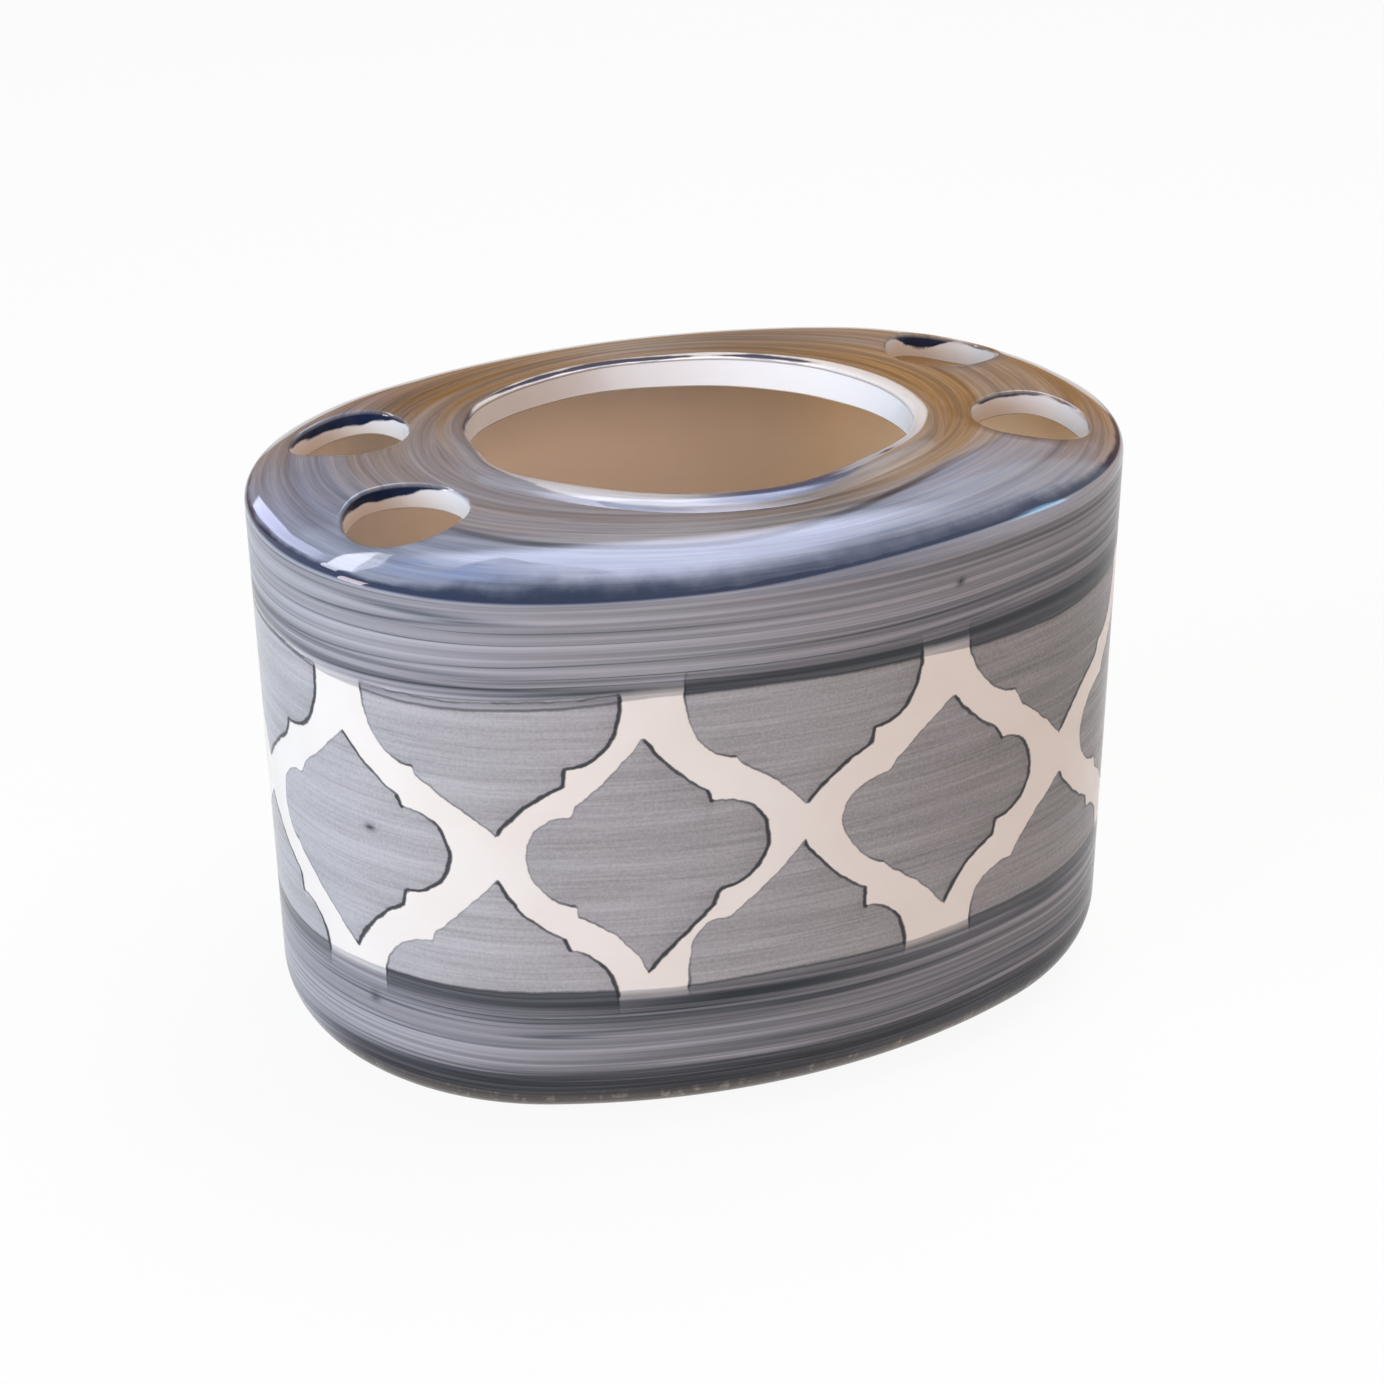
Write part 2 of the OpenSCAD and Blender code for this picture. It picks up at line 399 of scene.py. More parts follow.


# Wash of the top: blue-grey, turned to taupe and on to brown by a warm tint that is partly a painted warm
# reflection, and darkened by "load". Streaks follow the brush round the mouth: "lane" is 0 at the crease
# to 20 at the mouth, about 1.2 mm each.
def topWash(add, place):
    lane, warmTintAndReflection, amberTintAndReflection, load = [add("Attribute", out="Fac", attribute_name=name) for name in
                               ("lane", "warmTintAndReflection", "amberTintAndReflection", "load")]
    flat = add("VectorMath", [place, (22, 22, 0)], **times)
    laneUp = add("Math", [lane, 1.15], **times)
    laneV = add("CombineXYZ", {"Z": laneUp})
    at = add("VectorMath", [flat, laneV], **plus)
    streak = add("TexNoise", {"Vector": at, "Scale": 1, "Detail": 5, "Roughness": 0.68})
    fine = add("Math", [streak, load], **plus)
    wide = brushed(add, at, (0.4, 0.4, 0.55), 1)
    blue, taupe, brown = [add("ValToRGB", [fine], stops=glaze[wash]) for wash in ("blue", "taupe", "brown")]
    swing = add("MapRange", [wide, 0.35, 0.65, -0.2, 0.2])
    amberHere = add("Math", [amberTintAndReflection, swing], **plus, use_clamp=True)
    warmHere = add("Math", [swing, 0.5, warmTintAndReflection], operation="MULTIPLY_ADD", use_clamp=True)
    return coats(add, blue, (warmHere, coats(add, taupe, (amberHere, brown)))), fine


# Painted, clear-glazed top. Glaze pooled at the crease as a navy line, crisp below and blotchy above:
# "creaseRun" is mm up from its lower edge, "creaseWide" its width in mm, "creaseDeep" how dark its
# upper part is, and "ringOff" is mm from the dark ring.
def deckWare():
    material, add = newMaterial("painted clear-glazed earthenware, top")
    place = add("TexCoord", out="Object")
    run, wideMm, deep, ringOff, ringTone, rim, sideTone, cut, stain, buff = [
        add("Attribute", out="Fac", attribute_name=name) for name in
        ("creaseRun", "creaseWide", "creaseDeep", "ringOff", "ringTone", "holeRim", "sideTone", "cut",
         "stain", "buff")]
    wash, fine = topWash(add, place)
    ringAway = add("Math", [ringOff], operation="ABSOLUTE")
    ringNear = add("MapRange", [ringAway, 0.15, 0.9, 1, 0], **smooth)
    ring = add("Math", [ringNear, ringTone], **times)
    # round the right holes: brown in front, a painted warm reflection, and blue-grey wash pooled behind
    back = add("SeparateXYZ", [place], out="Y")
    isRear = add("MapRange", [back, -0.001, 0.001])
    # blotches 2 to 4 mm across
    blot = add("TexNoise", {"Vector": place, "Scale": 220, "Detail": 3})
    blotMm = add("MapRange", [blot, 0.3, 0.7, -0.2, 0.2])
    above = add("Math", [run, wideMm], operation="DIVIDE")
    blotched = add("Math", [above, blotMm], **plus)
    fading = add("MapRange", [blotched, 0.2, 1.25, 1, 0], **smooth)
    upper = add("Math", [fading, deep], **times)
    # a dark thread 1.2 mm wide along the lower edge
    threadRun = add("Math", [blotMm, 1.5, run], operation="MULTIPLY_ADD")
    thread = add("MapRange", [threadRun, 0.7, 1.6, 0.98, 0], **smooth)
    both = add("Math", [upper, thread], operation="MAXIMUM")
    crisp = add("MapRange", [run, -0.1, 0.25], **smooth)
    pool = add("Math", [both, crisp], **times)
    # the wall's top band begins below the line
    side, _ = wheelBand(add, place, 0.12)
    below = add("MapRange", [run, -0.3, 0.1, 1, 0], **smooth)
    belowTone = add("Math", [below, sideTone], **times)
    # cut walls are white slip with a painted buff shade lower down, stained where the brush ran over the
    # edge
    ragged = add("Math", [stain, blotMm], **plus)
    stained = add("MapRange", [ragged, 0.4, 0.66], **smooth)
    cutWall = coats(add, glaze["slipWhite"], (buff, glaze["slipShade"]), (stained, glaze["navy"]))
    painted = coats(add, wash, (ring, "#22202a"), (rim, coats(add, "#4f3917", (isRear, "#4a5a78"))),
                    (pool, glaze["navy"]), (belowTone, side), (cut, cutWall))
    finishGlaze(add, painted, fine, 0.35)
    return material


# White-glazed coil round the mouth: broken traces of navy 8 to 20 mm long, blue-grey streaks in front,
# and an outer flank washed over with the top
def lipWare():
    material, add = newMaterial("white clear-glazed earthenware")
    place = add("TexCoord", out="Object")
    trace, outer, streaky = [add("Attribute", out="Fac", attribute_name=name) for name in
                             ("trace", "outer", "streaky")]
    wash, fine = topWash(add, place)
    cloud = add("TexNoise", {"Vector": place, "Scale": 90, "Detail": 3})
    streak = add("MapRange", [fine, 0.40, 0.58, 0.6, 1])
    streakShare = add("Math", [streak, streaky], **times)
    gap = brushed(add, place, (60, 60, 400), 4)
    gapShare = add("MapRange", [gap, 0.35, 0.65, -0.45, 0.45])
    traced = add("Math", [trace, gapShare], **plus)
    inked = add("MapRange", [traced, 0.4, 0.8, 0, 0.95], **smooth)
    frayed = add("Math", [gapShare, 0.35, outer], operation="MULTIPLY_ADD")
    over = add("MapRange", [frayed, 0.3, 0.7], **smooth)
    painted = coats(add, "#f8f5f4", (cloud, "#e6e1e0"), (streakShare, "#414c6b"), (inked, glaze["navy"]),
                    (over, wash))
    finishGlaze(add, painted, fine, 0.35)
    return material


paintedGlaze, insideGlaze, clay, deckGlaze, lipGlaze = [
    make() for make in (paintedWare, buffWare, bareClay, deckWare, lipWare)]
print("materials made")


# Trellis on the wall
# One repeat is a pointed medallion, and half panels between medallions hang from the bands. Places are
# (mm along from the repeat's middle, mm up). A quarter of an outline: where its step begins and ends,
# how hollow the curve from the tip is, mm, and how square the lobe; a half panel gives the lobe's
# place before these two.
trellis = {
    "repeats": 8,
    "first": -23.3,            # middle of the repeat nearest the front, mm along the wall
    "middle": 45.8,            # height of the medallions' middles
    "lowBand": 24.2,
    "topBand": 69.1,
    "bandSway": 0.9,           # the top band's edge wanders this much, in four waves round
    "medallion": dict(tips=[(0.1, 63.6), (0, 27)], sides=[(-16.9, 45.8), (16.9, 45.8)], quarters=[
        ((8.7, 54.6), (9.4, 52.8), 0.7, 2.1), ((8.9, 36.6), (9.6, 38.8), 0.8, 2),
        ((-9.2, 36.6), (-9.9, 38.7), 0.8, 1.9), ((-8.9, 54.2), (-9.6, 52.6), 0.4, 2)]),
    "upper": dict(tip=(0, 49.2), lap=1.4, lapTone=0.7, sides=[
        ((-9.8, 57.3), (-10.6, 59.2), -18.4, 0.5, 2), ((9.6, 57.2), (10.2, 59.6), 18.2, 0.7, 2)]),
    "lower": dict(tip=(0, 42.8), lap=1.2, lapTone=0.6, sides=[
        ((-9.5, 33.6), (-10, 32), -17.6, 0.3, 2.3), ((9.6, 33.4), (10.2, 31.2), 17, 0.8, 1.9)]),
}
# Repeats that the painter drew differently, by their number from the front one
ownMedallions = {
    -1: dict(tips=[(0.7, 61.2), (0.9, 26.4)], sides=[(-15.9, 44.5), (17.3, 45.3)], quarters=[
        ((9.7, 53.7), (10.4, 52), 0.6, 2.2), ((9.8, 36.1), (10.2, 38.5), 1, 2),
        ((-11.4, 37.2), (-12.2, 38.2), 0.2, 2), ((-8.4, 52.6), (-9.4, 50.6), 0.3, 2)]),
    0: dict(tips=[(-0.9, 64.1), (-0.7, 27)], sides=[(-17.1, 46.2), (16.6, 46.5)], quarters=[
        ((7.8, 55.1), (8.4, 53.5), 0.7, 2.3), ((8.8, 36.8), (9.7, 39.3), 0.1, 1.85),
        ((-10.2, 36.5), (-10.3, 38.2), 1.3, 1.9), ((-10.2, 53.9), (-10.9, 52.4), 0.4, 2.1)]),
    1: dict(tips=[(0.1, 62.2), (-0.4, 28)], sides=[(-17.7, 46.8), (15.5, 45.5)], quarters=[
        ((8.2, 54.4), (9.4, 52.4), 0.6, 2.2), ((8.6, 36.7), (8.9, 39.1), 1.4, 2),
        ((-9.4, 36.7), (-11, 38.6), 0.7, 1.5), ((-9.3, 54.6), (-10.3, 53), 0, 2)]),
}
ownUpper = {
    -2: dict(tip=(0, 46.9), lap=0.6, lapTone=0.3, sides=[
        ((-9.8, 57.3), (-10.6, 59.2), -18.4, 0.5, 2), ((9.2, 54.8), (10.2, 57.5), 18.4, 0.4, 2.4)]),
    -1: dict(tip=(1.5, 49.3), lap=1.3, lapTone=0.25, sides=[
        ((-9.9, 57.2), (-10.3, 58.3), -18, 0.1, 2), ((10.7, 57), (11.2, 59.6), 18.7, 0.75, 2)]),
    0: dict(tip=(-0.5, 50.4), lap=2.2, lapTone=0.9, sides=[
        ((-9.8, 58.4), (-10.6, 59.6), -17.8, 0.6, 2), ((9.2, 57.7), (9.7, 60.1), 17, 0.8, 2)]),
    1: dict(tip=(-0.6, 48.6), lap=3, lapTone=0.85, sides=[
        ((-9.4, 56.6), (-11, 59.2), -20.1, 0.2, 1.6), ((10, 56.9), (10.6, 59), 17.8, 0.8, 2)]),
}
ownLower = {
    -2: dict(tip=(-0.2, 41.4), lap=2.4, lapTone=0.65, sides=[
        ((-9.5, 33.6), (-10, 32), -17.6, 0.3, 2.3), ((10.4, 32.9), (10.6, 30.2), 16.9, 0.3, 2)]),
    -1: dict(tip=(1.4, 42.5), lap=3, lapTone=0.9, sides=[
        ((-8.2, 32.7), (-8.6, 31.2), -16.7, 0.2, 2), ((10.4, 33.2), (11.2, 31.2), 17.7, 1.2, 1.7)]),
    0: dict(tip=(-0.8, 45.1), lap=0.7, lapTone=0.6, sides=[
        ((-10.8, 35.5), (-11.4, 34.8), -17.6, 0.5, 3), ((8.7, 35.1), (8.9, 32.1), 15.7, 0.8, 2)]),
    1: dict(tip=(0, 42.1), lap=1.8, lapTone=0.6, sides=[
        ((-9.4, 33.2), (-10, 31.8), -17.9, -0.3, 2.6), ((9.6, 33.4), (10.2, 31.2), 17, 0.8, 1.9)]),
}


# Quarter of an outline: straight line + parabola inwards from the tip to the step, then a quarter of
# |x|^p + |y|^p = 1 to the widest point
def quarterOutline(tip, widest, middle, step, stepEnd, hollow, power):
    tip, step, stepEnd, widest = (np.array(p, float) for p in (tip, step, stepEnd, widest))
    t = np.linspace(0, 1, 9)[:, None]
    chord = step - tip
    inward = np.array([-chord[1], chord[0]]) / np.hypot(*chord)
    inward = inward * np.sign(inward @ (np.array(middle) - (tip + step) / 2))
    curve = tip + t * chord + 4 * t * (1 - t) * hollow * inward
    a = np.linspace(0, np.pi / 2, 12)[:, None]
    lobe = np.concatenate([stepEnd[0] + (widest[0] - stepEnd[0]) * np.sin(a) ** (2 / power),
                           widest[1] + (stepEnd[1] - widest[1]) * np.cos(a) ** (2 / power)], 1)
    return np.concatenate([curve, lobe])


# Heights of the bands' edges along the wall
def bandEdges(along):
    wave = np.cos(8 * np.pi * (along + 8) / around)
    turn = 2 * np.pi * along / around
    top = trellis["topBand"] + trellis["bandSway"] * wave + 0.25 * handWobble(turn, 5, (7, 11, 19))
    low = trellis["lowBand"] + 0.35 * handWobble(turn, 6, (3, 7, 12))
    return low, top


# All panels as closed outlines (mm along, mm up)
def trellisPanels():
    pitch = around / trellis["repeats"]
    rng = np.random.default_rng(11)
    panels = []

    def addPanel(outline, middle, lap, lapTone):
        panels.append(dict(outline=outline + [middle, 0], middle=middle, tone=rng.uniform(-0.05, 0.05),
                           lap=lap, lapTone=lapTone))

    for k in range(-4, 4):
        # a usual panel's points are shifted by up to 0.4 mm
        shifted = lambda point, own: np.array(point) + (0 if k in own else 1) * rng.uniform(-0.4, 0.4, 2)
        m = ownMedallions.get(k) or trellis["medallion"]
        top, low, left, right = (shifted(p, ownMedallions) for p in (*m["tips"], *m["sides"]))
        pairs = zip((top, low, low, top), (right, right, left, left), m["quarters"])
        quarters = [quarterOutline(tip, side, (0, trellis["middle"]), *q) for tip, side, q in pairs]
        quarters[1::2] = [q[::-1] for q in quarters[1::2]]
        centre = trellis["first"] + k * pitch
        addPanel(np.concatenate(quarters), centre, 1, 0.7)
        for own, usual, up in ((ownUpper, trellis["upper"], 1), (ownLower, trellis["lower"], -1)):
            h = own.get(k) or usual
            crossing = centre + pitch / 2
            tip = shifted(h["tip"], own)
            reach = trellis["topBand"] + 0.4 if up > 0 else trellis["lowBand"] - 0.6
            left, right = [quarterOutline(tip, (x, reach), (0, reach), *step, hollow, power)
                           for *step, x, hollow, power in h["sides"]]
            across = np.linspace(right[-1, 0], left[-1, 0], 12)
            edge = bandEdges(across + crossing)[0 if up < 0 else 1]
            # it laps over the band, and 1.2 mm further where its second coat fades out
            over = h["lap"] + (1.2 if h["lapTone"] > 0.3 else 0)
            closing = np.stack([across, edge + up * over], -1)
            addPanel(np.concatenate([right, closing, left[::-1]]), crossing, h["lap"], h["lapTone"])
    return panels


# Signed distance to a closed outline, positive inside, and the nearest edge's direction. Inside, a
# level ray crosses the outline an odd number of times.
def outlineDistance(s, z, outline):
    a, b = outline, np.roll(outline, -1, 0)
    d = b - a
    size = np.maximum(np.hypot(*d.T), 1e-9)
    px, pz = s[:, None] - a[:, 0], z[:, None] - a[:, 1]
    t = np.clip((px * d[:, 0] + pz * d[:, 1]) / size ** 2, 0, 1)
    gap = np.hypot(px - t * d[:, 0], pz - t * d[:, 1])
    nearest = gap.argmin(1)
    crosses = (a[:, 1] > z[:, None]) != (b[:, 1] > z[:, None])
    slope = np.where(np.abs(d[:, 1]) < 1e-9, 1e-9, d[:, 1])
    inside = (crosses & (px < pz * d[:, 0] / slope)).sum(1) % 2 == 1
    turn = (a[:, 0] * b[:, 1] - b[:, 0] * a[:, 1]).sum()          # sign of the outline's turn
    normal = np.stack([d[:, 1], -d[:, 0]], -1) / size[:, None] * np.sign(turn)
    return np.where(inside, 1, -1) * gap.min(1), normal[nearest]


# How far places along the wall lie from one of them, the shorter way round
def alongFrom(along, place):
    return (along - place + around / 2) % around - around / 2


# A share, 0 to 1, that grows towards the right: one sine wave round, highest a quarter to the right
def towardsRight(along):
    return 0.5 + 0.5 * np.sin(2 * np.pi * along / around)


# How a panel's wash dried. It ran to the right and down, so edges that face that way have the heavier
# line. Weights and tones are 0 to 1, reaches are in mm.
drying = {
    "edge": 0.36, "edgeRight": 0.62, "edgeUp": -0.26,
    "atBand": 0.45, "bandReach": 5,
    "shade": 0.18, "shadeReach": 1.6,                     # a faint shade inside the pooled edges
    "tone": 0.15, "rightTone": 0.56,
    "coatFade": 1.3,           # two coats fade out over this under the band
}


# Paint at the wall's points
def wallPaint(along, z):
    reach = around / trellis["repeats"] / 2 + 5           # a panel is looked at 5 mm past its pitch
    edge, line, tone, lap = np.full(len(z), -9.0), np.zeros(len(z)), np.zeros(len(z)), np.zeros(len(z))
    lowBand, topBand = bandEdges(along)
    band = np.maximum(z - topBand, lowBand - z)
    for p in trellisPanels():
        offset = alongFrom(along, p["middle"])
        low, high = p["outline"][:, 1].min() - 5, p["outline"][:, 1].max() + 5
        at = np.flatnonzero((np.abs(offset) < reach) & (z > low) & (z < high))
        distance, normal = outlineDistance(offset[at] + p["middle"], z[at], p["outline"])
        closer = distance > edge[at]
        at, distance, normal = at[closer], distance[closer], normal[closer]
        edge[at] = distance
        faces = drying["edgeRight"] * normal[:, 0] + drying["edgeUp"] * normal[:, 1]
        line[at] = np.clip(drying["edge"] + faces, 0.02, 1)
        fade = drying["coatFade"]
        tone[at], lap[at] = p["tone"], p["lapTone"] * np.clip((p["lap"] + 0.7 - band[at]) / fade, 0, 1)
        line[at] *= np.clip(min(fade, p["lap"] - 0.2) - band[at], 0, 1)
    nearBand = np.clip(1 - np.abs(band) / drying["bandReach"], 0, 1) * (edge > -1)
    line = np.clip(line + drying["atBand"] * nearBand * (line > 0), 0, 1)
    pooling = drying["shade"] * line * np.exp(-np.clip(edge, 0, 9) / drying["shadeReach"])
    tone = tone + drying["tone"] + drying["rightTone"] * towardsRight(along) + pooling
    return {"panelEdge": edge, "edgeLine": line, "panelTone": tone, "bandEdge": band, "lapTone": lap}


# Heavy strokes in the bands, as a share of ink: stripes (mm up, half width, strength) that fade along
# the wall, over a wash that is denser towards the right end
strokes = {
    "left": [(73, 0.5, 0.85), (71.3, 0.45, 0.8), (77.2, 0.35, 0.3), (80.2, 0.35, 0.3), (22.6, 0.7, 0.6),
             (20.4, 0.5, 0.4), (18.2, 0.6, 0.45), (15.6, 0.4, 0.3)],
    "right": [(71.2, 1.1, 0.4), (75.5, 0.7, 0.3), (81.6, 0.7, 0.3), (22.4, 0.7, 0.35), (14.6, 1, 0.3)],
    "middle": [(21.2, 1.6, 0.7), (18.6, 1.1, 0.55), (12.9, 1.6, 0.4)],
    "middleAt": -14, "middleReach": 30,
    "topWash": 0.78, "lowWash": 0.7,
    "halfway": 45,             # height that parts the upper band from the lower one
    "lighterAt": -94, "lighterReach": 20,             # the base's dark paint is lighter round the left end
}
# Dark specks of paint: (mm along, mm up, length, height)
specks = [(-63.5, 47, 0.9, 0.5), (22, 78.9, 0.7, 0.5), (-64.7, 18.9, 0.9, 0.6), (71, 60.2, 0.5, 0.4),
          (118, 35.5, 0.6, 0.5), (-131, 76, 0.6, 0.5), (160, 52, 0.5, 0.5)]


def heavyStrokes(along, z):
    turns = 2 * np.pi * along / around
    load = towardsRight(along)
    share = {"left": np.clip(1.25 - 1.6 * load, 0, 1), "right": np.clip(1.8 * load - 0.6, 0, 1),
             "middle": np.exp(-(((along - strokes["middleAt"]) / strokes["middleReach"]) ** 2))}
    total = np.where(z > strokes["halfway"], strokes["topWash"] * load, strokes["lowWash"] * load)
    for side, weight in share.items():
        for k, (height, width, strength) in enumerate(strokes[side]):
            drift = 0.35 * handWobble(turns, 20 + k, (1, 2, 4, 7))
            total = total + weight * strength * np.exp(-((z - height - drift) / width) ** 2)
    return np.clip(total, 0, 1)


# Dark paint of the base, 0 to 1
def baseDark(along):
    return 1 - 0.85 * np.exp(-((along - strokes["lighterAt"]) / strokes["lighterReach"]) ** 4)


def speckMask(along, z):
    return np.max([np.exp(-(alongFrom(along, s) / length) ** 2 - ((z - up) / height) ** 2)
                   for s, up, length, height in specks], 0)


# A piece whose section closes on itself round an oval
def makeHoop(name, rings, values, looks, faceLook=None):
    faces = rowQuads(numbered(rings.shape), closed=True)
    return makePiece(name, rings.reshape(-1, 3), [faces], values, looks, faceLook)


# Body wall
wall = {
    "columns": 720,            # 0.5 mm apart, fine enough for the painted edges
    "rowMm": 0.5,
    "thickness": 4.5,
    "fineFrom": 21.5, "fineTo": 72,
}


# Distance along the wall from the middle of the front, three quarters of the way round
def runFromFront(count):
    return alongFrom(np.arange(count) * around / count, 0.75 * around)


def makeWall():
    turns, _ = evenTurns(body, wall["columns"])
    fineRows = np.arange(wall["fineFrom"], wall["fineTo"] + 0.01, wall["rowMm"])
    outerZ = np.concatenate([[baseSeam], np.linspace(baseSeam + 0.3, wall["fineFrom"] - 1, 12), fineRows,
                             np.linspace(wall["fineTo"] + 1, deckSeam - 0.3, 11), [deckSeam]])
    innerZ = np.linspace(deckSeam, baseSeam, 5)
    section = [(0, h) for h in outerZ] + [(wall["thickness"], h) for h in innerZ]
    rings = sweptRings(body, turns, section)
    along, z = np.tile(runFromFront(wall["columns"]), len(section)), rings[..., 2].ravel()
    isInside = np.repeat(np.arange(len(section)) >= len(outerZ) - 1, wall["columns"])
    values = {**wallPaint(along, z), "darkening": heavyStrokes(along, z),
              "speck": speckMask(along, z), "baseTone": baseDark(along)}
    return makeHoop("bodyWall", rings, values, [paintedGlaze, insideGlaze], isInside)


placePiece(makeWall(), "body_wall")
print("wall made")


# Base dish: rounded outer edge, and flat faces closed by small rings to a middle point
base = {"columns": 480, "edgeR": 8, "thickness": 4.5, "edgeSteps": 16, "ringShares": [0.12, 0.4, 0.7]}


def makeBase():
    count, r = base["columns"], base["edgeR"]
    turns, _ = evenTurns(body, count)
    outer = sectionArc(r, baseSeam, r, 180, 90, base["edgeSteps"])
    section = np.concatenate([outer, sectionArc(r, baseSeam, r - base["thickness"], 90, 180, 8)])
    edge = sweptRings(body, turns, section)
    shares = np.array(base["ringShares"])[:, None, None]
    lowest, floor = [0, 0, footTop], [0, 0, section[-1, 1]]
    rings = np.concatenate([edge[:1] * [1, 1, 0] * shares + lowest, edge,
                            edge[-1:] * [1, 1, 0] * shares[::-1] + floor])
    index = numbered(rings.shape)
    points = np.concatenate([rings.reshape(-1, 3), [lowest, floor]])
    first, last = index[0], index[-1]
    capUnder = np.stack([np.full_like(first, index.size), np.roll(first, -1), first], -1)
    capFloor = np.stack([np.full_like(last, index.size + 1), last, np.roll(last, -1)], -1)
    isInside = np.repeat(np.arange(len(rings) - 1) >= len(shares) + len(outer) - 1, count)
    along = np.concatenate([np.tile(runFromFront(count), len(rings)), [0, 0]])
    full = partial(np.full, len(points))
    values = {"panelEdge": full(-9.0), "edgeLine": full(0.0), "panelTone": full(0.3), "bandEdge": full(9.0),
              "darkening": heavyStrokes(along, points[:, 2]), "baseTone": baseDark(along)}
    look = np.concatenate([isInside, np.zeros(count), np.ones(count)])
    faces = [rowQuads(index), capUnder, capFloor]
    return makePiece("baseDish", points, faces, values, [paintedGlaze, insideGlaze], look)


placePiece(makeBase(), "base_dish")
print("base made")


# Foot ring: tread with softened corners
foot = {"columns": 480, "width": 4, "softening": 0.5}


def makeFoot():
    turns, _ = evenTurns(body, foot["columns"])
    a, b, r = footInset, footInset + foot["width"], foot["softening"]
    section = np.concatenate([[[a, footTop], [a, footTop - 0.1]], sectionArc(a + r, r, r, 90, 180, 4),
                              sectionArc(b - r, r, r, 180, 270, 4), [[b, footTop - 0.1], [b, footTop]]])
    return makeHoop("footRing", sweptRings(body, turns, section[::-1]), {}, [clay])


placePiece(makeFoot(), "foot_ring")
print("foot made")


# Top deck
deck = {
    "columns": 480,
    "rise": 4.6, "slopeWidth": 15, "thickness": 3.6,
    "creaseR": 1.8,            # softened corner between wall and top
    "holeR": 8.5, "holeX": 47, "holeY": 15, "holeColumns": 96, "holeSoft": 0.6,
    "collar": 0.7,             # how far a second loop lies outside each hole's rim
    "rings": 17,
    "lean": (2.6, 42),         # the knife leaned at the rear right: mm, direction
    # the pooled line at the crease: its lower edge, mm up the slope, its width, mm, and how dark its
    # upper part is, by direction in degrees (0 is the right end, -90 the front)
    "poolLift": {-176: -0.5, -168: -0.8, -159: -0.6, -140: -0.55, -130: -0.65, -110: -0.5, -98: -0.3,
                 -88: 0.2, -75: 0.8, -50: 1.3, -38: 1.2, -28: 0.6, 10: 0.2, 90: 0, 150: 0},
    "poolWide": {-176: 1, -168: 0.9, -160: 1, -151: 1.2, -144: 3, -137: 5, -110: 5.2, -93: 4.6, -75: 3.4,
                 -60: 3.6, -45: 3.4, -32: 1.8, -20: 0.6, 0: 1.2, 40: 1.6, 90: 1.1, 140: 1.8, 165: 0.9},
    "poolDeep": {-176: 0.7, -150: 1, -118: 1, -105: 0.85, -95: 0.7, -75: 0.75, -60: 0.9, -45: 1, -30: 1,
                 0: 0.8, 160: 0.8},
    # how much of the wall's band shows below the line
    "sideTone": {-180: 1, -112: 1, -98: 0.35, -35: 0.35, -15: 1, 90: 1},
    # how much darker the wash is
    "load": {-180: 0.02, -150: 0, -125: 0, -110: -0.02, -95: 0.13, -80: 0.18, -68: 0.03, -55: -0.12,
             -35: -0.09, 0: -0.02, 30: -0.05, 60: 0.14, 90: -0.02, 120: 0.08, 160: 0.09},
    # dark ring where the slope's wash ends, mm in from the pot's edge
    "ringInset": {-170: 14, -148: 11.1, -140: 9.3, -127: 8.1, -109: 7.2, -98: 7.2, -86: 8.4, -74: 9.9,
                  -56: 12.6, -41: 15.3, 0: 15, 90: 14},
    "ringTone": {-165: 0, -150: 0.5, -135: 0.85, -60: 0.8, -40: 0.35, -25: 0, 90: 0},
    # warm tint instead of blue, on the slope and inside the ring, and how amber it is: partly the wash's
    # own colour and partly a painted warm reflection
    "slopeWarmTintAndReflection": {-180: 0.1, -140: 0, -50: 0.05, -25: 0.45, -8: 0.95, 30: 1, 90: 0.85, 130: 0.9, 160: 0.45},
    "flatWarmTintAndReflection": {-180: 0.55, -160: 0.42, -140: 0.45, -115: 0.5, -90: 0.85, 0: 1, 90: 0.9, 135: 1,
                 165: 0.75},
    "amberTintAndReflection": {-180: 0.05, -150: 0, -110: 0, -85: 0.1, -50: 0.3, -15: 0.7, 15: 0.65, 40: 0.45, 60: 0.2,
              85: 0.05, 112: 0.6, 145: 0.8, 165: 0.3},
    # ink that ran down each hole's wall, and a tint round its rim: pooled wash, but a brown painted warm
    # reflection at the front right hole: (strength, direction, narrowness)
    "hang": [(0.42, 108, 1.5), (0.45, 86, 1.5), (0.08, 120, 2), (0.6, 86, 14)],
    "pooled": [(0, 0, 1), (0, 0, 1), (0.8, 235, 1.2), (0.9, -50, 2.5)],
}
mouthShape = {
    "endGap": 33.25, "sideGap": 20, "endShare": 0.88,
    "lipWidth": 4.6,
    "wander": 0.25,
    # the mouth was cut by hand: mm outside the true oval
    "cutBy": {-180: 0.3, -161: 1, -141: -0.5, -127: 0, -105: 1.5, -88: 2.3, -74: 1.4, -61: 0.5, -42: 1.5,
              -16: 0.4, 10: -1.1, 44: -1.6, 80: -1.5, 113: -0.2, 138: 1.6, 160: 1.2},
    # height of the coil, as a share of the full one
    "lipShare": {-180: 0.55, -150: 0.7, -90: 1, -45: 0.8, -10: 0.55, 30: 0.35, 90: 0.3, 130: 0.4, 160: 0.5},
}
mouth = fourCentreOval(potLength - 2 * mouthShape["endGap"], potWidth - 2 * mouthShape["sideGap"],
                       mouthShape["endShare"])
domeR = (deck["slopeWidth"] ** 2 + deck["rise"] ** 2) / (2 * deck["rise"])
domeZ = deckTop - domeR


# Height of the top at an inset: flat, then one circular arc down to the crease
def topHeight(inset, radius=domeR):
    k = np.clip(deck["slopeWidth"] - inset, 0, None)
    return domeZ + np.sqrt(np.maximum(radius ** 2 - k ** 2, 0))


